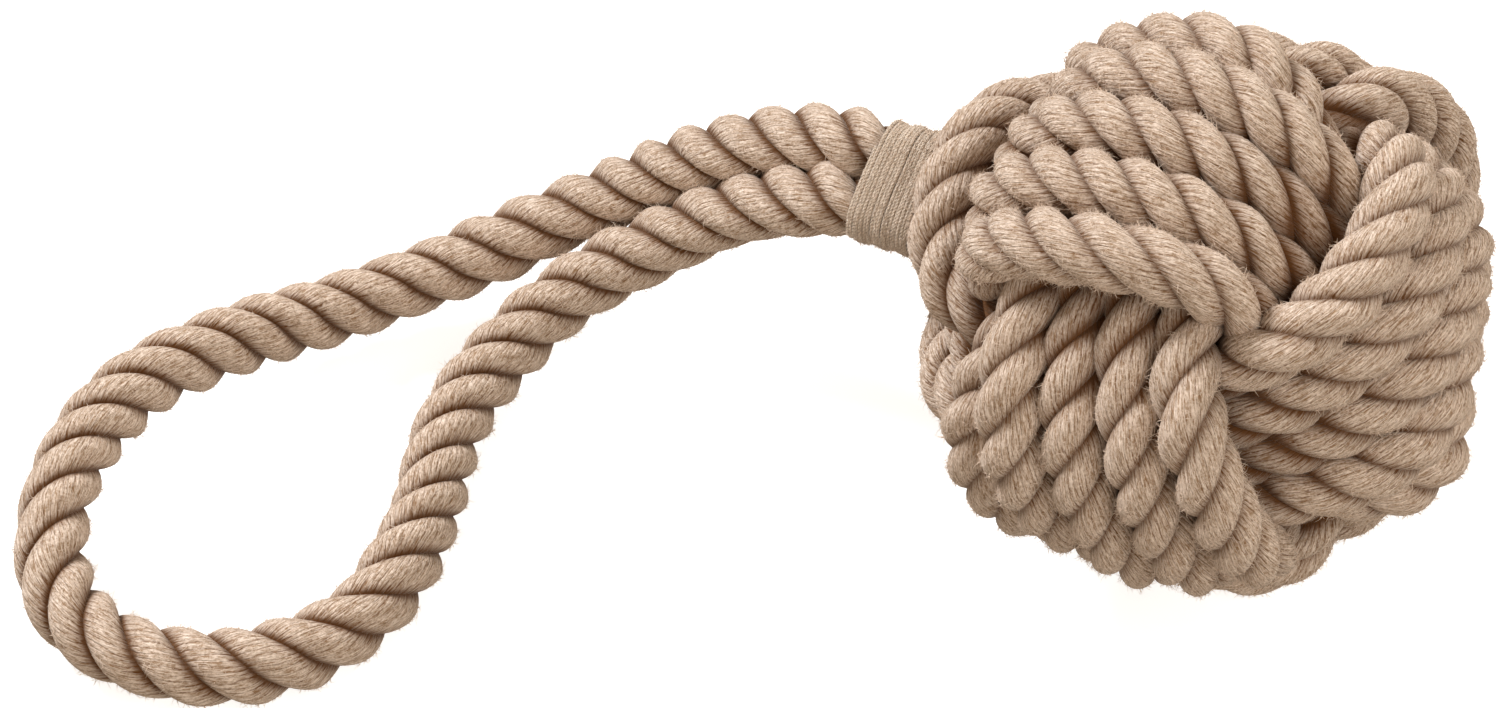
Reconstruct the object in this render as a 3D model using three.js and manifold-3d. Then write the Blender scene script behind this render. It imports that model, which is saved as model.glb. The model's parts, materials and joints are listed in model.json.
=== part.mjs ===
// Rope dog toy: a five-turn monkey's fist tied round a core, with a hand loop of the same rope.
// Both legs of the loop leave the ball side by side and are bound by a whipping of twine.
// Millimetres, +Z up. The toy lies on the plane z = 0, ball to +X and hand loop to -X.
import * as THREE from 'three';
import { mergeVertices } from 'three/addons/utils/BufferGeometryUtils.js';
import Module from 'manifold-3d';

const wasm = await Module();
wasm.setup();

// Rope
const ropeDiameter = 12; // free rope of the hand loop
const turnDiameter = 9.3; // the same rope drawn tight, where a turn shows on the ball
const tuckedDiameter = 7.0; // the same rope squeezed, where it passes under its neighbours
const legDiameter = 9.2; // the same rope squeezed by the whipping
const clearance = 0.3; // between pieces that touch
const turnGap = 0.6; // least room wanted between two stretches of rope in the knot

// Knot
const turnsPerFace = 5;
const turnSpread = 1.0; // extra room between neighbouring turns where they show
const diveStart = 38; // degrees from the middle of a face: the rope starts to dive
const diveEnd = 60; // degrees from the middle of a face: the rope is under its neighbour
const tuck = 62; // degrees from the middle of a face: a winding's end lies hidden here
const knotTurn = new THREE.Euler(...[59.2, 52.7, 129.7].map(THREE.MathUtils.degToRad), 'XYZ');
const tuckedLayers = 1.7; // layers of tucked rope by which the knot outgrows half a stack of turns
const restCut = 0.9; // depth of the flat that the ball's own weight presses into the rope

// Neck
const neckHeading = 150.3; // degrees from +X towards +Y
const neckRise = 1.3; // degrees above the horizontal
const neckRoll = 39.1; // degrees that the far leg is turned up above the near one
const whippingDiameter = 0.75;
const whippingPitch = 1.2;
const whippingTurns = 13;

// Hand loop: points of its centreline from the far leg round to the near leg
const loopRoute = [
  [-68, 42.7, 45.2], [-77.5, 47, 39.1], [-86.5, 50, 32.1], [-96, 51.3, 25.3], [-106.5, 51.5, 19.5],
  [-117, 49.5, 15], [-128, 46.3, 11.4], [-139.3, 41.6, 9.8], [-149.8, 36.4, 9.6], [-160.1, 30.4, 11],
  [-169.4, 23.5, 12.5], [-177.9, 15.1, 14.1], [-184.4, 5.3, 14.2], [-188.7, -5.5, 13.3],
  [-190.3, -17.6, 11.3], [-187.9, -29.2, 8.8], [-180.3, -38, 7], [-169, -42.4, 6],
  [-156.8, -42.8, 5.8], [-145.4, -38.3, 5.8], [-136.6, -29.8, 5.9], [-131.5, -18.7, 6],
  [-128.6, -7.2, 6], [-127, 4.8, 6.5], [-123.7, 15.8, 7.5], [-117.3, 26, 9.5], [-109.3, 34, 13],
  [-99.5, 39, 17.5], [-89, 40.5, 23.5], [-79.5, 38.7, 29.7], [-70.5, 34.8, 36.3],
];
const drawnIn = 4; // length of a leg that runs straight beyond the hinge line
const swellOver = 22; // length over which the leg then swells to the free rope

// Facets
const turnSides = 8;
const ringsPerLoop = 28;
const ropeSides = 10;
const loopRings = 64;
const legRings = 9;
const domeRings = 3;
const domeTurn = 81; // degrees of a quarter turn at which a dome ends in a small flat
const coreDetail = 5;
const twineSides = 5;
const bendSteps = 7; // steps of twine round each half-round side of the neck

// Worked-out sizes of the knot
const turnRadius = turnDiameter / 2;
const tuckedRadius = tuckedDiameter / 2;
const legRadius = legDiameter / 2;
const pitch = turnDiameter + turnSpread;
const tuckedPitch = tuckedDiameter + turnGap;
const layer = turnRadius + tuckedRadius + turnGap;
const innerRadius = (turnsPerFace * tuckedPitch) / 2 + tuckedLayers * tuckedDiameter;
const outerRadius = innerRadius + layer;
const coreRadius = innerRadius - tuckedDiameter;
const middleTurn = (turnsPerFace - 1) / 2;
const nextRings = ringsPerLoop / 3; // rings of one rope nearer than this count as the same stretch

// Worked-out places of the neck, as distances from the middle of the ball
const legSpacing = legDiameter + turnGap;
const legStart = innerRadius + tuckedDiameter;
const whippingLength = whippingPitch * whippingTurns;
const whippingReach = legRadius + clearance + whippingDiameter / 2;

const heading = THREE.MathUtils.degToRad(neckHeading);
const rise = THREE.MathUtils.degToRad(neckRise);
const roll = THREE.MathUtils.degToRad(neckRoll);
const neckAxis = new THREE.Vector3(
  Math.cos(rise) * Math.cos(heading),
  Math.cos(rise) * Math.sin(heading),
  Math.sin(rise),
);
const levelSide = new THREE.Vector3(Math.sin(heading), -Math.cos(heading), 0);
const legSide = levelSide.clone().applyAxisAngle(neckAxis, -roll);

// A point of the neck: distance along its axis, then towards the far leg, then square to both.
const legFace = new THREE.Vector3().crossVectors(neckAxis, legSide);
const neckPoint = (along, across, out = 0) => new THREE.Vector3()
  .addScaledVector(neckAxis, along)
  .addScaledVector(legSide, across)
  .addScaledVector(legFace, out);

const smooth = (from, to, x) => THREE.MathUtils.smoothstep(x, from, to);

// A rope is a list of ring centres with a radius at each. A closed tube is drawn through them, with
// one of its flats turned to the given direction.
function ropeTube({ centres, radii }, sides, facing) {
  const positions = [];
  const indices = [];
  const last = centres.length - 1;
  centres.forEach((centre, i) => {
    const before = centres[Math.max(i - 1, 0)];
    const after = centres[Math.min(i + 1, last)];
    const tangent = after.clone().sub(before).normalize();
    const up = facing(centre).addScaledVector(tangent, -facing(centre).dot(tangent)).normalize();
    const side = new THREE.Vector3().crossVectors(tangent, up);
    for (let j = 0; j < sides; j += 1) {
      const angle = ((j + 0.5) / sides) * 2 * Math.PI;
      const point = centre.clone()
        .addScaledVector(up, radii[i] * Math.cos(angle))
        .addScaledVector(side, radii[i] * Math.sin(angle));
      positions.push(...point.toArray());
    }
  });
  for (let i = 0; i < last; i += 1) {
    for (let j = 0; j < sides; j += 1) {
      const a = i * sides + j;
      const b = i * sides + ((j + 1) % sides);
      indices.push(a, b, a + sides, b, b + sides, a + sides);
    }
  }
  const firstCap = centres.length * sides;
  positions.push(...centres[0].toArray(), ...centres[last].toArray());
  for (let j = 0; j < sides; j += 1) {
    const next = (j + 1) % sides;
    indices.push(firstCap, next, j);
    indices.push(firstCap + 1, last * sides + j, last * sides + next);
  }
  const geometry = new THREE.BufferGeometry();
  geometry.setAttribute('position', new THREE.Float32BufferAttribute(positions, 3));
  geometry.setIndex(indices);
  return geometry;
}

// One winding of the knot, about the middle of the ball. The rope runs over its own two faces on
// the outer sphere, dives under the neighbouring windings, and moves on one turn at every second dive.
function windingPath(faceAxis, runAxis, stackAxis) {
  const step = 360 / ringsPerLoop;
  const lastAngle = 360 * (turnsPerFace - 1) + 180 + tuck;
  const centres = [];
  const radii = [];
  for (let angle = -tuck; angle <= lastAngle; angle += step) {
    const turn = Math.floor((angle + diveStart) / 360);
    const inTurn = angle - 360 * turn;
    const moveOn = Math.max(0, inTurn - 180 - diveStart) / (180 - 2 * diveStart);
    const fromFace = Math.abs(((inTurn + 90) % 180) - 90);
    const hidden = smooth(diveStart, diveEnd, fromFace);
    const stack = (middleTurn - turn - moveOn) * THREE.MathUtils.lerp(pitch, tuckedPitch, hidden);
    const shown = Math.sqrt(outerRadius ** 2 - stack ** 2);
    const sine = Math.sin(THREE.MathUtils.degToRad(fromFace));
    const under = Math.sqrt(shown ** 2 - layer ** 2 * (1 - sine ** 2)) - layer * sine;
    const radius = THREE.MathUtils.lerp(shown, under, hidden);
    centres.push(new THREE.Vector3()
      .addScaledVector(faceAxis, radius * Math.cos(THREE.MathUtils.degToRad(inTurn)))
      .addScaledVector(runAxis, radius * Math.sin(THREE.MathUtils.degToRad(inTurn)))
      .addScaledVector(stackAxis, stack));
    radii.push(THREE.MathUtils.lerp(turnRadius, tuckedRadius, hidden));
  }
  return { centres, radii };
}

// Points along each rope's chords, where its distance to other stretches is measured.
const chordShares = [0.125, 0.375, 0.625, 0.875];
function chordSamples(ropes) {
  const samples = [];
  let first = 0;
  ropes.forEach((rope, which) => {
    for (let i = 0; i < rope.centres.length - 1; i += 1) {
      chordShares.forEach((share) => samples.push({
        which,
        ring: first + i,
        at: i + share,
        share,
        radius: THREE.MathUtils.lerp(rope.radii[i], rope.radii[i + 1], share),
      }));
    }
    first += rope.centres.length;
  });
  return samples;
}

const apart = (a, b) => a.which !== b.which || Math.abs(a.at - b.at) > nextRings;
const placeSamples = (samples, rings) => samples.map(
  ({ ring, share }) => rings[ring].clone().lerp(rings[ring + 1], share),
);

// Settles the turns against each other: stretches that lie too close push each other away, the
// rope's stiffness keeps it smooth, and a light pull keeps each turn near its place.
function settle(windings, posts) {
  const room = turnGap + clearance;
  const rounds = 400;
  const refreshEvery = 20;
  const searchMargin = 3;
  const stiffness = 0.25;
  const pull = 0.002;
  const overstep = 1.2;
  const leastWeight = 0.5;
  const ropes = [...windings, ...posts];
  const rings = ropes.flatMap((rope) => rope.centres);
  const home = rings.map((ring) => ring.clone());
  const free = windings.flatMap((winding) => winding.centres).length;
  const samples = chordSamples(ropes);
  let pairs = [];
  for (let round = 0; round < rounds; round += 1) {
    const places = placeSamples(samples, rings);
    if (round % refreshEvery === 0) {
      pairs = [];
      places.forEach((place, i) => {
        for (let j = i + 1; j < places.length; j += 1) {
          const reach = samples[i].radius + samples[j].radius + room;
          const close = place.distanceTo(places[j]) < reach + searchMargin;
          if (close && apart(samples[i], samples[j])) pairs.push([i, j, reach]);
        }
      });
    }
    const push = places.map(() => ({ sum: new THREE.Vector3(), count: 0 }));
    pairs.forEach(([i, j, reach]) => {
      const away = places[i].clone().sub(places[j]);
      const lack = reach - away.length();
      if (lack <= 0) return;
      away.setLength(lack / 2);
      push[i].sum.add(away);
      push[j].sum.sub(away);
      push[i].count += 1;
      push[j].count += 1;
    });
    const moves = rings.map(() => ({ sum: new THREE.Vector3(), weight: 0 }));
    samples.forEach(({ ring, share }, i) => {
      if (push[i].count === 0) return;
      const mean = push[i].sum.divideScalar(push[i].count);
      moves[ring].sum.addScaledVector(mean, 1 - share);
      moves[ring].weight += 1 - share;
      moves[ring + 1].sum.addScaledVector(mean, share);
      moves[ring + 1].weight += share;
    });
    for (let i = 0; i < free; i += 1) {
      rings[i].addScaledVector(moves[i].sum, overstep / Math.max(moves[i].weight, leastWeight));
    }
    windings.forEach(({ centres }) => {
      const last = centres.length - 1;
      const bend = centres.map((ring, i) => (i === 0 || i === last
        ? new THREE.Vector3()
        : centres[i - 1].clone().add(centres[i + 1]).multiplyScalar(0.5).sub(ring)));
      for (let i = 1; i < last; i += 1) {
        const around = bend[i - 1].clone().add(bend[i + 1]).multiplyScalar(0.5);
        centres[i].addScaledVector(bend[i].clone().sub(around), stiffness);
      }
    });
    for (let i = 0; i < free; i += 1) {
      rings[i].lerp(home[i], pull);
      rings[i].setLength(Math.max(rings[i].length(), coreRadius + tuckedRadius + clearance));
    }
  }
}

// The least gap between two stretches of one tube that aren't next to each other.
function leastGap(name, rope, ringsApart) {
  const samples = chordSamples([rope]);
  const places = placeSamples(samples, rope.centres);
  let least = Infinity;
  for (let i = 0; i < places.length; i += 1) {
    for (let j = i + 1; j < places.length; j += 1) {
      if (samples[j].at - samples[i].at > ringsApart) {
        const gap = places[i].distanceTo(places[j]) - samples[i].radius - samples[j].radius;
        least = Math.min(least, gap);
      }
    }
  }
  console.log(`${name}: least gap to itself ${least.toFixed(2)} mm`);
}

function toSolid(geometry) {
  const bare = geometry.clone();
  bare.deleteAttribute('normal');
  bare.deleteAttribute('uv');
  const merged = mergeVertices(bare);
  return new wasm.Manifold(new wasm.Mesh({
    numProp: 3,
    vertProperties: new Float32Array(merged.attributes.position.array),
    triVerts: new Uint32Array(merged.index.array),
  }));
}

function toGeometry(solid) {
  const mesh = solid.getMesh();
  const geometry = new THREE.BufferGeometry();
  geometry.setAttribute('position', new THREE.BufferAttribute(mesh.vertProperties, 3));
  geometry.setIndex(new THREE.BufferAttribute(mesh.triVerts, 1));
  return geometry;
}

// The three windings about the middle of the ball, turned as the ball lies, and settled round the legs.
const [faceA, faceC, faceB] = [[1, 0, 0], [0, 1, 0], [0, 0, 1]].map(
  (axis) => new THREE.Vector3(...axis).applyEuler(knotTurn),
);
const windings = [
  windingPath(faceA, faceB, faceC),
  windingPath(faceB, faceC, faceA),
  windingPath(faceC, faceA, faceB),
];
// A leg runs straight out of the ball, and swells as it passes between the turns.
function legPath(across, end) {
  const stations = Array.from({ length: legRings }, (_, i) => (
    THREE.MathUtils.lerp(legStart, end, i / (legRings - 1))
  ));
  return {
    centres: stations.map((along) => neckPoint(along, across * (legSpacing / 2))),
    radii: stations.map((along) => (
      THREE.MathUtils.lerp(tuckedRadius, legRadius, smooth(legStart, outerRadius + turnRadius, along))
    )),
  };
}
const legsAtLeast = outerRadius + layer + whippingLength;
settle(windings, [legPath(1, legsAtLeast), legPath(-1, legsAtLeast)]);

// The whipping is drawn up hard against the turns that lie round the legs: the farthest place along
// the neck where its first turn would touch one of them.
const whippingEdge = whippingReach + whippingDiameter / 2;
const whippingStart = Math.max(...windings.flatMap(({ centres, radii }) => centres.map((centre, i) => {
  const beyondLegs = Math.max(Math.abs(centre.dot(legSide)) - legSpacing / 2, 0);
  const aside = Math.max(Math.hypot(beyondLegs, centre.dot(legFace)) - whippingEdge, 0);
  const touch = radii[i] + clearance;
  return aside < touch ? centre.dot(neckAxis) + Math.sqrt(touch ** 2 - aside ** 2) : 0;
})));
const legEnd = whippingStart + whippingLength + whippingDiameter;
const hingeReach = legEnd + clearance + legRadius;
const legs = { far_leg: legPath(1, legEnd), near_leg: legPath(-1, legEnd) };

// The ball comes to rest on the lowest of its turns, which are pressed flat there.
const turnTubes = windings.map(
  (winding) => ropeTube(winding, turnSides, (centre) => centre.clone()),
);
turnTubes.forEach((tube) => tube.computeBoundingBox());
const lowest = Math.min(...turnTubes.map((tube) => tube.boundingBox.min.z));
const ballCentre = new THREE.Vector3(0, 0, -lowest - restCut);
const groundWidth = 2 * (outerRadius + turnDiameter);
const ground = new THREE.BoxGeometry(groundWidth, groundWidth, turnDiameter);
ground.translate(0, 0, -turnDiameter / 2);

const matte = (color, roughness) => new THREE.MeshStandardMaterial({ color, roughness, metalness: 0 });
const ropeMaterial = () => matte(0xbfa084, 0.95);
const twineMaterial = () => matte(0xb4967a, 0.95);
const coreMaterial = () => matte(0x4b4540, 0.8);

const toy = new THREE.Group();
function addPiece(parent, name, geometry, material) {
  const mesh = new THREE.Mesh(geometry, material);
  mesh.name = name;
  parent.add(mesh);
}

const ball = new THREE.Group();
ball.position.copy(ballCentre);
toy.add(ball);

addPiece(ball, 'core_ball', new THREE.IcosahedronGeometry(coreRadius, coreDetail), coreMaterial());

const windingNames = ['first_turns', 'second_turns', 'third_turns'];
turnTubes.forEach((tube, i) => {
  const placed = toSolid(tube.translate(...ballCentre.toArray()));
  addPiece(toy, windingNames[i], toGeometry(placed.subtract(toSolid(ground))), ropeMaterial());
  leastGap(windingNames[i], windings[i], nextRings);
});

Object.entries(legs).forEach(([name, path]) => {
  addPiece(ball, name, ropeTube(path, turnSides, () => legFace.clone()), ropeMaterial());
});

// The twine winds round both legs, from the ball to the mouth of the neck.
function whippingPath() {
  const half = legSpacing / 2;
  const outline = [];
  [1, -1].forEach((sideSign) => {
    for (let i = 0; i <= bendSteps; i += 1) {
      const angle = Math.PI * (i / bendSteps - 0.5);
      const across = sideSign * (half + whippingReach * Math.cos(angle));
      outline.push([across, sideSign * whippingReach * Math.sin(angle)]);
    }
  });
  const centres = [];
  const steps = outline.length * whippingTurns;
  for (let i = 0; i <= steps; i += 1) {
    const [across, out] = outline[i % outline.length];
    centres.push(neckPoint(whippingStart + (whippingLength * i) / steps, across, out));
  }
  return { centres, radii: centres.map(() => whippingDiameter / 2) };
}
const twine = whippingPath();
addPiece(ball, 'whipping_twine', ropeTube(twine, twineSides, () => neckAxis.clone()), twineMaterial());
leastGap('whipping_twine', twine, bendSteps);

// The hand loop. Each end is a dome about the hinge line, so that it can turn against its leg.
function loopPath() {
  const ends = [1, -1].map((across) => [0, drawnIn].map(
    (along) => neckPoint(hingeReach + along, across * (legSpacing / 2)).add(ballCentre),
  ));
  const route = loopRoute.map((point) => new THREE.Vector3(...point));
  const curve = new THREE.CatmullRomCurve3(
    [...ends[0], ...route, ...ends[1].reverse()],
    false,
    'centripetal',
  );
  const centres = curve.getSpacedPoints(loopRings);
  const length = curve.getLength();
  const radii = centres.map((_, i) => {
    const fromEnd = Math.min(i, loopRings - i) * (length / loopRings);
    const swell = smooth(drawnIn, drawnIn + swellOver, fromEnd);
    return THREE.MathUtils.lerp(legRadius, ropeDiameter / 2, swell);
  });
  const domes = [1, -1].map((across) => Array.from({ length: domeRings }, (_, i) => {
    const angle = THREE.MathUtils.degToRad(((i + 1) / domeRings) * domeTurn);
    const centre = neckPoint(hingeReach - legRadius * Math.sin(angle), across * (legSpacing / 2));
    return { centre: centre.add(ballCentre), radius: legRadius * Math.cos(angle) };
  }));
  const [farDome, nearDome] = domes;
  farDome.reverse();
  console.log(`handle_loop: centreline ${length.toFixed(1)} mm`);
  return {
    centres: [...farDome.map((ring) => ring.centre), ...centres, ...nearDome.map((ring) => ring.centre)],
    radii: [...farDome.map((ring) => ring.radius), ...radii, ...nearDome.map((ring) => ring.radius)],
  };
}
const loopTube = ropeTube(loopPath(), ropeSides, () => new THREE.Vector3(0, 0, 1));
addPiece(toy, 'handle_loop', loopTube, ropeMaterial());

// The origin is the middle of the toy's footprint, on the ground.
const bounds = new THREE.Box3().setFromObject(toy);
const middle = bounds.getCenter(new THREE.Vector3());
toy.position.set(-middle.x, -middle.y, -bounds.min.z);

const list = (vector, digits) => vector.toArray().map((value) => value.toFixed(digits)).join(' ');
console.log(`ball centre ${list(ballCentre.clone().add(toy.position), 2)}`);
console.log(`hinge ${list(neckPoint(hingeReach, 0).add(ballCentre).add(toy.position), 2)}`);
console.log(`hinge line ${list(legSide, 4)}`);

export default toy;
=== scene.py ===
import json
import math

import bpy
import numpy as np
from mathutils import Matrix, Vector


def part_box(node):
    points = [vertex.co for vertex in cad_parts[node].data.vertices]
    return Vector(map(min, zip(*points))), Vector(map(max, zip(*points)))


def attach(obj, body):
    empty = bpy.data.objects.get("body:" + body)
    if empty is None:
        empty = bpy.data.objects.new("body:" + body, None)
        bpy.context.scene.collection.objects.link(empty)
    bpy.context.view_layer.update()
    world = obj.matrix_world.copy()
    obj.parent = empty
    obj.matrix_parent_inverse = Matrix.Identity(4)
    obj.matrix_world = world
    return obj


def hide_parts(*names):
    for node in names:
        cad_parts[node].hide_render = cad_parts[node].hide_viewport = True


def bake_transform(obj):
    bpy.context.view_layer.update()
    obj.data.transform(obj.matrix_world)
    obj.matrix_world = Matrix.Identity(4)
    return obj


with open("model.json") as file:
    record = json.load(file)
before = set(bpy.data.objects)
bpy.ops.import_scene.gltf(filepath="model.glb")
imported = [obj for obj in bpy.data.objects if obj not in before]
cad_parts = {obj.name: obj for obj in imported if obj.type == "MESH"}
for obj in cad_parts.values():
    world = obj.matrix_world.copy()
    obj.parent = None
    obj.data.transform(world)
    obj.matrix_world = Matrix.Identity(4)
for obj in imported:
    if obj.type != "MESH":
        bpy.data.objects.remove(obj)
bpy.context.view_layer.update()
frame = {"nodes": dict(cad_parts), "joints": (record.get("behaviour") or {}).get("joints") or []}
mm = 0.001

# The view. The toy lies on a table and is seen from above its near side through a long lens.
view_rise = math.radians(44)
camera = bpy.data.objects.new("view", bpy.data.cameras.new("view"))
camera.data.sensor_width = 36
camera.data.lens = 98.4
camera.location = (-0.14 * mm, -490.95 * mm, 505.70 * mm)
camera.rotation_euler = (math.pi / 2 - view_rise, 0, 0)
bpy.context.scene.collection.objects.link(camera)
bpy.context.scene.camera = camera

# The hand loop: one soft cotton rope of three strands, laid right-handed. Both of its legs come out
# of the ball side by side, squeezed by the whipping, and swell to the free rope beyond its mouth.
# Lengths along the neck are counted from the middle of the ball.
leg_spacing = 9.8 * mm
leg_start = 38 * mm
mouth = 61.5 * mm
sag_start = 46 * mm
neck_sag = 1.9 * mm
rope_radius = 6.4 * mm
bound_radius = 4.7 * mm
free_lay = 26 * mm
bend_length = 12 * mm
above_floor = 1 * mm
loop_fibres = 12000
loop_route = [
    (-68, 42.7, 44.3), (-77.5, 47, 38.4), (-86.5, 50, 31.8), (-96, 51.3, 25.3), (-106.5, 51.5, 19.5),
    (-117, 49.5, 15), (-128, 46.3, 11.4), (-139.3, 41.6, 9.8), (-149.8, 36.4, 9.6),
    (-160.1, 30.4, 11), (-169.4, 23.5, 12.5), (-177.9, 15.1, 14.1), (-184.4, 5.3, 14.2),
    (-188.7, -5.5, 13.3), (-190.3, -17.6, 11.3), (-187.9, -29.2, 8.8), (-180.3, -38, 7),
    (-169, -42.4, 6), (-156.8, -42.8, 5.8), (-145.4, -38.3, 5.8), (-136.6, -29.8, 5.9),
    (-131.5, -18.7, 6), (-128.6, -7.2, 6), (-127, 4.8, 6.5), (-123.7, 15.8, 7.5), (-117.3, 26, 9.5),
    (-109.3, 34, 13), (-99.5, 39, 17.5), (-89, 40.5, 23.2), (-79.5, 39.4, 30.0), (-70.5, 35.5, 36.5),
]


def unit(vectors):
    return vectors / np.linalg.norm(vectors, axis=-1, keepdims=True)


def smooth(low, high, x):
    """0 below low, 1 above high and smooth between."""
    share = np.clip((x - low) / (high - low), 0, 1)
    return share * share * (3 - 2 * share)


def run_length(line):
    """How far along a line each of its points lies."""
    return np.concatenate([[0], np.cumsum(np.linalg.norm(np.diff(line, axis=0), axis=1))])


core_low, core_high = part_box("core_ball")
ball_middle = np.array((core_low + core_high) / 2)
swing = frame["joints"][0]
neck_axis = unit(np.array(swing["pos_m"]) - ball_middle)
leg_side = unit(np.array(swing["axis"]))
leg_face = np.cross(neck_axis, leg_side)


def neck_point(along, across, out=0.0):
    """A place in the neck, which sags a little towards its mouth."""
    sag = neck_sag * smooth(sag_start, mouth + 2 * mm, along)
    return ball_middle + neck_axis * along + leg_side * across + leg_face * out - np.array([0, 0, sag])


def fair_line(points, step):
    """Even points on the smooth curve through the given ones, and where each lies among them."""
    knots = run_length(points)
    gaps = np.diff(knots)
    count = len(points)
    system = np.eye(count)
    load = np.zeros((count, 3))
    slopes = np.diff(points, axis=0) / gaps[:, None]
    for i in range(1, count - 1):
        system[i, i - 1:i + 2] = gaps[i - 1], 2 * (gaps[i - 1] + gaps[i]), gaps[i]
        load[i] = 6 * (slopes[i] - slopes[i - 1])
    bend = np.linalg.solve(system, load)

    def place(at):
        i = np.clip(np.searchsorted(knots, at) - 1, 0, count - 2)
        gap = gaps[i][:, None]
        after = (at - knots[i])[:, None]
        before = gap - after
        chord = points[i] * before / gap + points[i + 1] * after / gap
        low = bend[i] * before * (before * before - gap * gap) / (6 * gap)
        high = bend[i + 1] * after * (after * after - gap * gap) / (6 * gap)
        return chord + low + high

    fine = np.linspace(0, knots[-1], 40 * count)
    run = run_length(place(fine))
    even = np.linspace(0, run[-1], round(run[-1] / step) + 1)
    at = np.interp(even, run, fine)
    return place(at), np.interp(at, knots, np.arange(count))


def drift(run, seed, wave):
    """A slow wandering of about -1 to 1 along a rope, without a plain repeat."""
    rates = np.array([1.0, 1.618, 2.414])
    phases = np.array([2.1, 4.7, 1.3]) * (seed + 1)
    return np.sin(2 * np.pi * run[:, None] / wave * rates + phases).mean(1) * 1.5


def laid_rope(name, line, upward, radius, lay, sides, turn=0.0, wide=1.0, seed=0, shaded=1.0):
    """Three strands twisted into one closed surface along a line. The strands are near round, press
    against each other in a sharp crease, and vary a little in thickness. Each point also carries how
    strong the painted shade towards the creases is there, scaled by shaded."""
    strands = 3
    uneven_twist, twist_wave = 0.16, 95 * mm
    uneven_strand, strand_wave = 0.045, 38 * mm
    strand_reach, strand_size = 0.36, 0.64
    crease_depth, crease_width = 0.04, math.radians(8)
    shade_widths = math.radians(9), math.radians(27)

    run = run_length(line)
    along = unit(np.gradient(line, axis=0))
    up = unit(upward - along * np.sum(upward * along, axis=1, keepdims=True))
    side = np.cross(along, up)
    twist = turn + 2 * np.pi * run / lay + uneven_twist * drift(run, seed, twist_wave)

    half = math.pi / strands
    across = half * np.sin(math.pi / 2 * np.linspace(-1, 1, sides + 1))
    round_side = np.sqrt(strand_size ** 2 - (strand_reach * np.sin(across)) ** 2)
    strand = strand_reach * np.cos(across) + round_side
    from_crease = half - np.abs(across)
    crease = np.exp(-(from_crease / crease_width) ** 2)
    # Painted shade towards each crease between strands: a sharp dark line and a broad falloff.
    sharp, broad = [np.exp(-(from_crease / width) ** 2) for width in shade_widths]
    crease_shade = shaded * (0.4 * sharp + 0.6 * broad)
    crest = np.cos(across * strands / 2)

    rings, angles, creases = [], [], []
    for which in range(strands):
        swell = 1 + uneven_strand * drift(run, seed + 3.3 * which, strand_wave)[:, None] * crest
        reach = radius[:, None] * (strand * swell - crease_depth * crease)
        angle = twist[:, None] + which * 2 * half + across
        section = up[:, None] * (reach * np.cos(angle))[..., None]
        section = section + side[:, None] * (reach * np.sin(angle) * wide)[..., None]
        rings.append(line[:, None] + section)
        angles.append(angle)
        creases.append(np.broadcast_to(crease_shade, angle.shape))
    points = np.concatenate([ring[:, :-1] for ring in rings], axis=1)
    points[..., 2] = np.maximum(points[..., 2], 0)
    crease_shades = np.concatenate([part[:, :-1] for part in creases], axis=1)

    ring_count, ring_size = points.shape[:2]
    index = np.arange(ring_count * ring_size).reshape(ring_count, ring_size)
    beside = np.roll(index, -1, axis=1)
    quads = np.stack([index[:-1], beside[:-1], beside[1:], index[1:]], axis=-1).reshape(-1, 4)
    faces = quads.tolist() + [index[0][::-1].tolist(), index[-1].tolist()]

    mesh = bpy.data.meshes.new(name)
    mesh.from_pydata(points.reshape(-1, 3).tolist(), [], faces)
    mesh.polygons.foreach_set("use_smooth", np.ones(len(faces), bool))

    # Each corner of a face carries its place on the strand, in millimetres along and around the rope,
    # set well apart from strand to strand so that their yarns differ.
    apart_along, apart_around = 57, 400
    yarns = []
    for which in range(strands):
        around = angles[which] * radius.max() / mm + apart_around * which
        length = np.broadcast_to(run[:, None] / mm + apart_along * which, around.shape)
        here = np.stack([length, around, np.full_like(around, which)], axis=-1)
        yarns.append(np.stack([here[:-1, :-1], here[:-1, 1:], here[1:, 1:], here[1:, :-1]], axis=2))
    yarn = np.concatenate(yarns, axis=1).reshape(-1, 3)
    ends = np.zeros((2 * ring_size, 3))
    layer = mesh.attributes.new("yarn", "FLOAT_VECTOR", "CORNER")
    layer.data.foreach_set("vector", np.concatenate([yarn, ends]).astype(np.float32).ravel())
    # Each point also carries how much painted crease shade the material gives it.
    layer = mesh.attributes.new("crease_shade", "FLOAT", "POINT")
    layer.data.foreach_set("value", crease_shades.astype(np.float32).ravel())

    piece = bpy.data.objects.new(name, mesh)
    bpy.context.scene.collection.objects.link(piece)
    return piece


def vertex_values(mesh, field):
    values = np.empty(len(mesh.vertices) * 3, np.float32)
    mesh.vertices.foreach_get(field, values)
    return values.reshape(-1, 3)


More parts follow.
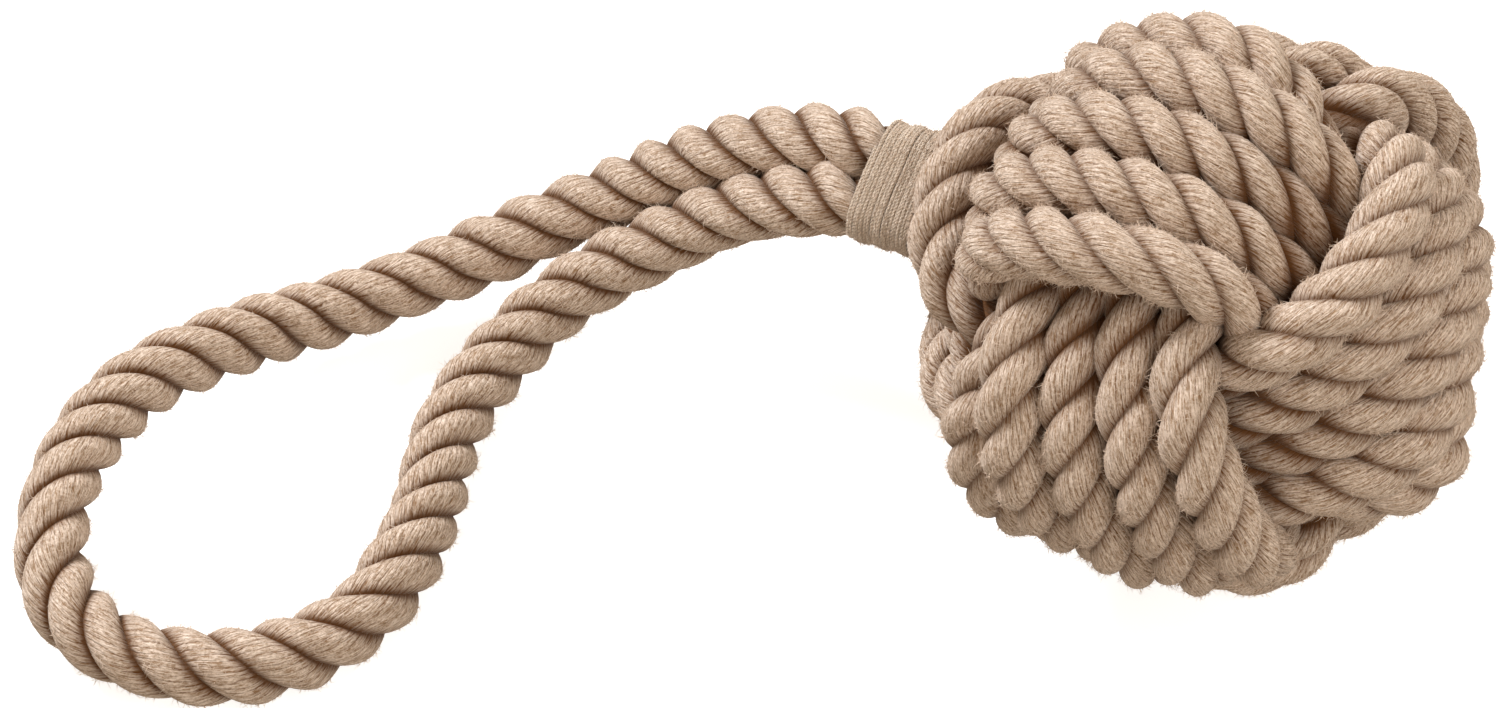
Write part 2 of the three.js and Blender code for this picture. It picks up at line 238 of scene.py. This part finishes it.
def fuzz(name, rope, grows, count, seed):
    """Loose fibre ends that stand off a rope: thin bent spikes rooted on the backs of its strands."""
    deepest_root = 0.3
    thickness = 0.04 * mm
    thinned = 0.8

    chance = np.random.default_rng(seed)
    crease_shades = np.empty(len(rope.data.vertices), np.float32)
    rope.data.attributes["crease_shade"].data.foreach_get("value", crease_shades)
    picked = chance.choice(np.nonzero(grows & (crease_shades < deepest_root))[0], count)
    roots = vertex_values(rope.data, "co")[picked]
    out = vertex_values(rope.data, "normal")[picked]
    lying = unit(np.cross(out, chance.normal(size=(count, 3))))
    beside = np.cross(out, lying)
    lean = np.radians(chance.uniform(30, 80, count))[:, None]
    half_length = (0.3 + 0.7 * chance.random(count) ** 2)[:, None] * mm
    rise = chance.uniform(-0.6, 0.3, (count, 1))
    swerve = chance.uniform(-0.9, 0.9, (count, 1))
    first = out * np.cos(lean) + lying * np.sin(lean)
    second = unit(first + out * rise + beside * swerve)
    middles = roots + first * half_length
    tips = middles + second * half_length

    across = np.cross(first, beside)
    third = 2 * math.pi / 3
    spokes = [beside * math.cos(turn) + across * math.sin(turn) for turn in (0, third, 2 * third)]
    base = [roots + spoke * thickness for spoke in spokes]
    bent = [middles + spoke * thickness * thinned for spoke in spokes]
    points = np.stack([*base, *bent, tips], axis=1)
    spike_size = points.shape[1]
    points = points.reshape(-1, 3)
    points[:, 2] = np.maximum(points[:, 2], 0)
    spike = [(0, 1, 4, 3), (1, 2, 5, 4), (2, 0, 3, 5), (3, 4, 6), (4, 5, 6), (5, 3, 6), (2, 1, 0)]
    faces = [tuple(spike_size * i + corner for corner in face) for i in range(count) for face in spike]
    mesh = bpy.data.meshes.new(name)
    mesh.from_pydata(points.tolist(), [], faces)
    mesh.materials.append(fuzz_cotton)
    piece = bpy.data.objects.new(name, mesh)
    bpy.context.scene.collection.objects.link(piece)
    return piece


class Shade:
    """A socket in a material's nodes. Sums and products of sockets add Math nodes."""

    def __init__(self, tree, socket=None):
        self.tree = tree
        self.socket = socket

    def node(self, kind, settings=None, sockets=None, output=0):
        made = self.tree.nodes.new(kind)
        for key, value in (settings or {}).items():
            setattr(made, key, value)
        for key, value in (sockets or {}).items():
            if isinstance(value, Shade):
                self.tree.links.new(value.socket, made.inputs[key])
            else:
                made.inputs[key].default_value = value
        return Shade(self.tree, made.outputs[output] if made.outputs else None)

    def math(self, operation, first, second=0.0):
        return self.node("ShaderNodeMath", {"operation": operation}, {0: first, 1: second})

    def __add__(self, other):
        return self.math("ADD", self, other)

    def __sub__(self, other):
        return self.math("SUBTRACT", self, other)

    def __rsub__(self, other):
        return self.math("SUBTRACT", other, self)

    def __mul__(self, other):
        return self.math("MULTIPLY", self, other)

    def __pow__(self, other):
        return self.math("POWER", self, other)

    __radd__ = __add__
    __rmul__ = __mul__


def blank_material(name):
    material = bpy.data.materials.new(name)
    material.use_nodes = True
    material.node_tree.nodes.clear()
    return material, Shade(material.node_tree)


def finished(shade, sockets):
    surface = shade.node("ShaderNodeBsdfPrincipled", {}, sockets)
    shade.node("ShaderNodeOutputMaterial", {}, {"Surface": surface})


def stepped(shade, low, high, value):
    """0 below low, 1 above high and smooth between."""
    settings = {"interpolation_type": "SMOOTHSTEP"}
    return shade.node("ShaderNodeMapRange", settings, {"Value": value, "From Min": low, "From Max": high})


def mixed(shade, share, first, second):
    return shade.node("ShaderNodeMix", {"data_type": "RGBA"}, {0: share, 6: first, 7: second}, 2)


def noise(shade, place, stretch, detail=2.0, roughness=0.5):
    scaled = shade.node("ShaderNodeVectorMath", {"operation": "MULTIPLY"}, {0: place, 1: stretch})
    sockets = {"Vector": scaled, "Scale": 1.0, "Detail": detail, "Roughness": roughness}
    return shade.node("ShaderNodeTexNoise", {"noise_dimensions": "3D"}, sockets)


def cotton(name, light, dark, shade_and_fleck_colour, yarn_width, crease_shade_share):
    """Soft spun cotton. Its yarns lie side by side along the rope, and painted shade along their seams
    shows as fine broken lines; finer fibres lie over them, with dark streaks and flecks of their own, and
    painted shade sinks the colour to brown in creases and gaps."""
    material, shade = blank_material(name)
    yarn = shade.node("ShaderNodeAttribute", {"attribute_name": "yarn"}, {}, "Vector")
    crease_shade = shade.node("ShaderNodeAttribute", {"attribute_name": "crease_shade"}, {}, "Fac")
    depth = shade.node("ShaderNodeAttribute", {"attribute_name": "depth"}, {}, "Fac")
    around = shade.node("ShaderNodeSeparateXYZ", {}, {"Vector": yarn}, "Y")
    wander = noise(shade, yarn, (0.12, 0.5 / yarn_width, 9.0), 3.0)
    seam_breaks = noise(shade, yarn, (0.9, 1.2 / yarn_width, 4.0), 2.0, 0.6)
    streaks = noise(shade, yarn, (0.28, 1.5 / yarn_width, 6.0), 3.0, 0.6)
    fibres = noise(shade, yarn, (0.55, 4.5 / yarn_width, 5.0), 2.0, 0.7)
    grain = noise(shade, yarn, (2.2, 2.6, 8.0), 2.0, 0.7)
    flecks = noise(shade, yarn, (1.1, 1.9, 7.0), 1.0)

    lane = shade.math("FRACT", around * (1 / yarn_width) + wander * 2.5)
    ridge = 1 - (lane * 2 - 1) ** 2
    # Painted shade along the seams between yarns, broken up at random.
    seam_shade = (1 - stepped(shade, 0.0, 0.6, ridge)) * stepped(shade, 0.36, 0.56, seam_breaks)
    dash = 1 - stepped(shade, 0.30, 0.42, streaks)
    tone = streaks * 0.25 + fibres * 0.50 + grain * 0.25
    body = mixed(shade, stepped(shade, 0.38, 0.62, tone), (*dark, 1), (*light, 1))
    fleck = stepped(shade, 0.74, 0.80, flecks)
    # Painted shade in the creases, deep in the ball and along the yarn seams, with the cotton's own dark
    # streaks and flecks, sinks the colour towards one dark brown.
    shade_and_flecks = crease_shade * crease_shade_share + depth * 0.65 + seam_shade * 0.55 + dash * 0.25 + fleck * 0.5
    colour = mixed(shade, stepped(shade, 0.0, 1.1, shade_and_flecks), body, (*shade_and_fleck_colour, 1))

    height = ridge * 0.30 + streaks * 0.45 + fibres * 0.55 + grain * 0.25
    relief = {"Strength": 0.9, "Distance": 0.5 * mm, "Height": height}
    finished(shade, {
        "Base Color": colour,
        "Roughness": 0.95,
        "Normal": shade.node("ShaderNodeBump", {}, relief, "Normal"),
        "Specular IOR Level": 0.12,
        "Sheen Weight": 0.30,
        "Sheen Roughness": 0.45,
        "Sheen Tint": (1.0, 0.87, 0.74, 1),
    })
    return material


leg_stations = np.linspace(leg_start, mouth + 1.5 * mm, 6)
far_leg = [neck_point(along, leg_spacing / 2) for along in leg_stations]
near_leg = [neck_point(along, -leg_spacing / 2) for along in leg_stations[::-1]]
foot = np.array([ball_middle[0], ball_middle[1], 0])
loop_points = np.array([*far_leg, *(np.array(loop_route) * mm + foot), *near_leg])
loop_line, _ = fair_line(loop_points, 0.5 * mm)
loop_run = run_length(loop_line)
from_end = np.minimum(loop_run, loop_run[-1] - loop_run)
mouth_run = mouth - leg_start
opening = smooth(mouth_run - 2 * mm, mouth_run + 6 * mm, from_end)
loop_radius = bound_radius + (rope_radius - bound_radius) * opening
upright = np.broadcast_to([0.0, 0.0, 1.0], loop_line.shape)
loop_rope = laid_rope("hand_loop_rope", loop_line, upright, loop_radius, free_lay, sides=24, shaded=1.15)
# The dark brown serves both as painted shade in creases and gaps and as the colour of the cotton's dark
# streaks and flecks.
rope_cotton = cotton(
    "rope_cotton",
    light=(0.90, 0.75, 0.63),
    dark=(0.31, 0.182, 0.093),
    shade_and_fleck_colour=(0.13, 0.05, 0.014),
    yarn_width=1.0,
    crease_shade_share=0.9,
)
loop_rope.data.materials.append(rope_cotton)

fuzz_cotton, shade = blank_material("fuzz_cotton")
place = shade.node("ShaderNodeTexCoord", {}, {}, "Object")
patches = noise(shade, place, (400.0, 400.0, 400.0))
finished(shade, {
    "Base Color": mixed(shade, patches, (0.55, 0.41, 0.30, 1), (0.85, 0.70, 0.57, 1)),
    "Roughness": 0.95,
})
loop_places = vertex_values(loop_rope.data, "co")
beyond_mouth = (loop_places - ball_middle) @ neck_axis > mouth + 1 * mm
loop_grows = beyond_mouth & (loop_places[:, 2] > above_floor)
loop_fuzz = fuzz("hand_loop_fuzz", loop_rope, loop_grows, loop_fibres, seed=7)
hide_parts("handle_loop", "far_leg", "near_leg")
for piece in (loop_rope, loop_fuzz):
    neck_point(mouth, 0)
    neck_point(mouth + bend_length, 0)
    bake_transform(piece)
neck_point(mouth, leg_spacing / 2)

# The ball: a monkey's fist of three windings, five turns each, tied from the same rope. Each winding
# runs over two opposite faces of the ball and under the turns of its neighbours. The turns are laid
# and settled in millimetres about the middle of the ball.
turns_per_face = 5
turn_size, tucked_size, leg_size = 4.65, 3.5, 4.6
clearance, turn_gap, turn_spread = 0.3, 0.6, 1.0
dive_start, dive_end, tuck = 38, 60, 62
rings_per_turn = 28
tuck_room = 1.7
post_length = 15.6
turn_pitch = 2 * turn_size + turn_spread
tucked_pitch = 2 * tucked_size + turn_gap
layer_height = turn_size + tucked_size + turn_gap
inner_reach = turns_per_face * tucked_pitch / 2 + tuck_room * 2 * tucked_size
outer_reach = inner_reach + layer_height
core_radius = inner_reach - 2 * tucked_size
knot_turn = [math.radians(angle) for angle in (59.2, 52.7, 129.7)]


def winding(face, onward, stack_side):
    """Ring centres of one winding about the middle of the ball, and how far each is tucked under."""
    angle = np.arange(-tuck, 360 * (turns_per_face - 1) + 180 + tuck + 1e-9, 360 / rings_per_turn)
    turn = np.floor((angle + dive_start) / 360)
    in_turn = angle - 360 * turn
    move_on = np.maximum(0, in_turn - 180 - dive_start) / (180 - 2 * dive_start)
    from_face = np.abs(np.fmod(in_turn + 90, 180) - 90)
    hidden = smooth(dive_start, dive_end, from_face)
    spacing = turn_pitch + (tucked_pitch - turn_pitch) * hidden
    stack = ((turns_per_face - 1) / 2 - turn - move_on) * spacing
    shown = np.sqrt(outer_reach ** 2 - stack ** 2)
    sine = np.sin(np.radians(from_face))
    under = np.sqrt(shown ** 2 - layer_height ** 2 * (1 - sine ** 2)) - layer_height * sine
    reach = shown + (under - shown) * hidden
    course = np.radians(in_turn)
    centres = np.outer(reach * np.cos(course), face) + np.outer(reach * np.sin(course), onward)
    return centres + np.outer(stack, stack_side), hidden


def settle(windings, sizes, posts, post_sizes):
    """Lets the turns push each other apart until none lies in another, as they do when drawn tight.
    The posts are the two legs of the loop, which stay where they are."""
    rounds, rounds_to_next_look = 400, 20
    look_round = 3
    shove_gain, stiffness, pull_home = 1.2, 0.25, 0.002
    shares = np.array([0.125, 0.375, 0.625, 0.875])
    per_gap = len(shares)

    ropes = [*windings, *posts]
    rings = np.concatenate(ropes)
    home = rings.copy()
    thickness = np.concatenate([*sizes, *post_sizes])
    starts = np.cumsum([0] + [len(rope) for rope in ropes])
    spans = list(zip(starts, starts[1:]))
    free = starts[len(windings)]
    ring = np.concatenate([np.repeat(np.arange(a, b - 1), per_gap) for a, b in spans])
    rope_of = np.concatenate([np.full(per_gap * (b - a - 1), k) for k, (a, b) in enumerate(spans)])
    share = np.tile(shares, len(ring) // per_gap)
    size = thickness[ring] * (1 - share) + thickness[ring + 1] * share
    room = turn_gap + clearance
    for step in range(rounds):
        places = rings[ring] * (1 - share)[:, None] + rings[ring + 1] * share[:, None]
        if step % rounds_to_next_look == 0:
            apart = np.linalg.norm(places[:, None] - places[None], axis=-1)
            wanted = size[:, None] + size[None] + room
            other = rope_of[:, None] != rope_of[None]
            away_on = np.abs((ring + share)[:, None] - (ring + share)[None]) > rings_per_turn / 3
            close = np.triu((apart < wanted + look_round) & (other | away_on), 1)
            first, second = np.nonzero(close)
            wanted = wanted[first, second]
        gap = places[first] - places[second]
        distance = np.linalg.norm(gap, axis=1)
        lack = wanted - distance
        tight = lack > 0
        i, j = first[tight], second[tight]
        shove = gap[tight] / distance[tight][:, None] * (lack[tight] / 2)[:, None]
        push = np.zeros_like(places)
        np.add.at(push, i, shove)
        np.add.at(push, j, -shove)
        count = np.bincount(i, minlength=len(places)) + np.bincount(j, minlength=len(places))
        pushed = count > 0
        mean = push[pushed] / count[pushed][:, None]
        weight = np.zeros(len(rings))
        move = np.zeros_like(rings)
        for at, part in ((ring[pushed], 1 - share[pushed]), (ring[pushed] + 1, share[pushed])):
            np.add.at(move, at, mean * part[:, None])
            np.add.at(weight, at, part)
        rings[:free] += (move * (shove_gain / np.maximum(weight, 0.5))[:, None])[:free]
        for a, b in spans[:len(windings)]:
            rope = rings[a:b]
            bend = np.zeros_like(rope)
            bend[1:-1] = (rope[:-2] + rope[2:]) / 2 - rope[1:-1]
            rope[1:-1] += stiffness * (bend[1:-1] - (bend[:-2] + bend[2:]) / 2)
        rings[:free] += (home[:free] - rings[:free]) * pull_home
        reach = np.linalg.norm(rings[:free], axis=1)
        least = core_radius + tucked_size + clearance
        rings[:free] *= (np.maximum(reach, least) / reach)[:, None]
    return [rings[a:b] for a, b in spans[:len(windings)]]


cos_x, cos_y, cos_z = np.cos(knot_turn)
sin_x, sin_y, sin_z = np.sin(knot_turn)
face_a = np.array([
    cos_y * cos_z,
    cos_x * sin_z + sin_x * sin_y * cos_z,
    sin_x * sin_z - cos_x * sin_y * cos_z,
])
face_b = np.array([sin_y, -sin_x * cos_y, cos_x * cos_y])
face_c = np.array([
    -cos_y * sin_z,
    cos_x * cos_z - sin_x * sin_y * sin_z,
    sin_x * cos_z + cos_x * sin_y * sin_z,
])
laid = [winding(face_a, face_b, face_c), winding(face_b, face_c, face_a), winding(face_c, face_a, face_b)]
sizes = [turn_size + (tucked_size - turn_size) * hidden for _, hidden in laid]
post_along = np.linspace(inner_reach + 2 * tucked_size, outer_reach + layer_height + post_length, 9)
posts = [
    np.outer(post_along, neck_axis) + leg_side * (across * leg_spacing / (2 * mm)) for across in (1, -1)
]
post_swell = smooth(post_along[0], outer_reach + turn_size, post_along)
post_size = tucked_size + (leg_size - tucked_size) * post_swell
settled = settle([centres for centres, _ in laid], sizes, posts, [post_size, post_size])

# Drawn tight by hand, the ball is not quite round. Each swell is a direction as the view shows it,
# clockwise from the right, and the share of the reach by which the turns stand out there. At three
# corners, given as directions from the middle of the ball, the turns are drawn shut.
swells = [
    (18, -0.16), (47, 0.13), (71, -0.06), (94, 0.085), (140, -0.02),
    (175, 0.04), (262, -0.07), (288, 0.045), (318, -0.03), (340, 0.125),
]
swell_spread = math.radians(16)
corners = unit(np.array([(0.05, -0.783, 0.620), (-0.965, -0.20, 0.17), (0.59, 0.25, 0.77)]))
corner_pull = 0.35
corner_spread = math.radians(13)
shown_radius = 6.2 * mm
hidden_radius = 5.7 * mm
ball_lay = 25 * mm
dark_reach, bright_reach = 37 * mm, 46.5 * mm
fuzz_reach = 44 * mm
winding_fibres = 9000
winding_pieces = [
    ("first_winding", "first_turns"),
    ("second_winding", "second_turns"),
    ("third_winding", "third_turns"),
]
for which, (name, node) in enumerate(winding_pieces):
    line, at = fair_line(settled[which] * mm, 0.9 * mm)
    shaped = np.ones(len(line))
    for turn, amount in swells:
        sideways, down = math.cos(math.radians(turn)), math.sin(math.radians(turn))
        towards = (sideways, -down * math.sin(view_rise), -down * math.cos(view_rise))
        apart = np.arccos(np.clip(unit(line) @ towards, -1, 1))
        shaped += amount * np.exp(-(apart / swell_spread) ** 2 / 2)
    line = line * shaped[:, None]
    for corner in corners:
        off_corner = line - np.outer(line @ corner, corner)
        apart = np.arccos(np.clip(unit(line) @ corner, -1, 1))
        line = line - off_corner * (corner_pull * np.exp(-(apart / corner_spread) ** 2))[:, None]
    hidden = laid[which][1]
    tucked = np.interp(at, np.arange(len(hidden)), hidden)
    radius = shown_radius + (hidden_radius - shown_radius) * tucked
    rope = laid_rope(
        name, line + ball_middle, line, radius, ball_lay,
        sides=16, turn=1.0 * which, wide=0.93, seed=5 + 2 * which, shaded=0.75,
    )
    places = vertex_values(rope.data, "co")
    from_middle = np.linalg.norm(places - ball_middle, axis=1)
    # Painted shade deep in the ball: each point darkens the deeper it lies, from none at bright_reach to
    # full at dark_reach.
    layer = rope.data.attributes.new("depth", "FLOAT", "POINT")
    layer.data.foreach_set("value", 1 - smooth(dark_reach, bright_reach, from_middle).astype(np.float32))
    rope.data.materials.append(rope_cotton)
    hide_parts(node)
    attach(rope, "ball")
    grows = (from_middle > fuzz_reach) & (places[:, 2] > above_floor)
    fibres = fuzz(name + "_fuzz", rope, grows, winding_fibres, seed=11 + which)
    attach(fibres, "ball")

# The whipping: fine cotton twine wound tightly round both legs, from the ball to the mouth of the
# neck, a little unevenly, as a hand lays it. Its ends are tucked in under the turns.
whipping_start = 44.6 * mm
whipping_turns = 26
whipping_reach = 5.5 * mm
twine_radius = 0.42 * mm
twine_lay = 2.0 * mm
twine_sides = 5
twine_fibres = 2500
outline = []
for side in (1, -1):
    for angle in np.linspace(-math.pi / 2, math.pi / 2, 9):
        across = side * (leg_spacing / 2 + whipping_reach * math.cos(angle))
        outline.append((across, side * whipping_reach * math.sin(angle)))
steps = len(outline) * whipping_turns
wound = []
for step in range(steps + 1):
    share = step / steps
    turn = share * whipping_turns
    flare = 1 + 0.06 * (1 - share) ** 2 + 0.02 * math.sin(5.3 * turn)
    across, out = outline[step % len(outline)]
    uneven = 0.10 * math.sin(2.3 * turn) + 0.12 * math.sin(6.9 * turn + 2)
    along = whipping_start + (mouth - whipping_start) * share + uneven * mm
    wound.append(neck_point(along, across * flare, out * flare))
twine_line, _ = fair_line(np.array(wound), 0.4 * mm)
outward = twine_line - ball_middle
outward = outward - np.outer(outward @ neck_axis, neck_axis)
twine_size = np.full(len(twine_line), twine_radius)
twine = laid_rope("whipping", twine_line, outward, twine_size, twine_lay, twine_sides, seed=3)
# The twine's painted crease shade and its dark flecks share a paler brown.
twine_cotton = cotton(
    "twine_cotton",
    light=(0.96, 0.83, 0.70),
    dark=(0.76, 0.59, 0.435),
    shade_and_fleck_colour=(0.24, 0.125, 0.06),
    yarn_width=0.4,
    crease_shade_share=0.5,
)
twine.data.materials.append(twine_cotton)
twine_normals = vertex_values(twine.data, "normal")
points_per_ring = len(twine_normals) // len(twine_line)
facing = np.sum(twine_normals * np.repeat(unit(outward), points_per_ring, axis=0), axis=1)
twine_fuzz = fuzz("whipping_fuzz", twine, facing > 0.5, twine_fibres, seed=17)
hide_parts("whipping_twine")
for piece in (twine, twine_fuzz):
    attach(piece, "ball")

# The core: a ball of rubber that the knot is tied round. It shows only as a dark ground deep between
# the turns.
core_rubber, shade = blank_material("core_rubber")
place = shade.node("ShaderNodeTexCoord", {}, {}, "Object")
grain = noise(shade, place, (900.0, 900.0, 900.0), 3.0)
finished(shade, {
    "Base Color": mixed(shade, grain, (0.16, 0.085, 0.04, 1), (0.26, 0.15, 0.08, 1)),
    "Roughness": 0.7 + grain * 0.25,
})
core = frame["nodes"]["core_ball"]
core.data.materials.clear()
core.data.materials.append(core_rubber)

# The floor and the light: a white table that glows enough to stay white, but sends no light up to the
# rope. A large window stands behind it on the left and a small one on the right; a soft box and a
# white card in front fill the shaded sides, between warm pale walls.
floor_half = 3
floor_corners = [
    (-floor_half, -floor_half, 0), (floor_half, -floor_half, 0),
    (floor_half, floor_half, 0), (-floor_half, floor_half, 0),
]
floor_mesh = bpy.data.meshes.new("floor")
floor_mesh.from_pydata(floor_corners, [], [(0, 1, 2, 3)])
floor = bpy.data.objects.new("floor", floor_mesh)
bpy.context.scene.collection.objects.link(floor)
floor_white, shade = blank_material("floor_white")
finished(shade, {
    "Base Color": (0.55, 0.55, 0.55, 1),
    "Roughness": 0.9,
    "Emission Color": (1, 0.98, 0.95, 1),
    "Emission Strength": 0.85,
})
floor_mesh.materials.append(floor_white)
floor.visible_diffuse = False

lamps = [
    ("window", (-1.1, 0.7, 1.2), 0.6, 38.5, (0.97, 1.0, 1.05)),
    ("soft_box", (0.32, -0.45, 0.50), 0.4, 1.6, (1.0, 0.98, 0.95)),
    ("white_card", (-0.05, -0.6, 0.10), 0.6, 1.2, (1.0, 0.94, 0.87)),
    ("far_window", (0.95, 0.35, 0.60), 0.5, 4.6, (1.0, 0.99, 0.97)),
]
for name, place, size, energy, colour in lamps:
    lamp = bpy.data.objects.new(name, bpy.data.lights.new(name, "AREA"))
    lamp.data.shape = "DISK"
    lamp.data.size = size
    lamp.data.energy = energy
    lamp.data.color = colour
    lamp.location = place
    lamp.rotation_euler = (-lamp.location).to_track_quat("-Z", "Y").to_euler()
    bpy.context.scene.collection.objects.link(lamp)
walls = bpy.data.worlds.new("pale_walls")
walls.use_nodes = True
glow = walls.node_tree.nodes["Background"]
glow.inputs["Color"].default_value = (1, 0.84, 0.66, 1)
glow.inputs["Strength"].default_value = 0.32
bpy.context.scene.world = walls
bpy.context.scene.view_settings.view_transform = "Standard"
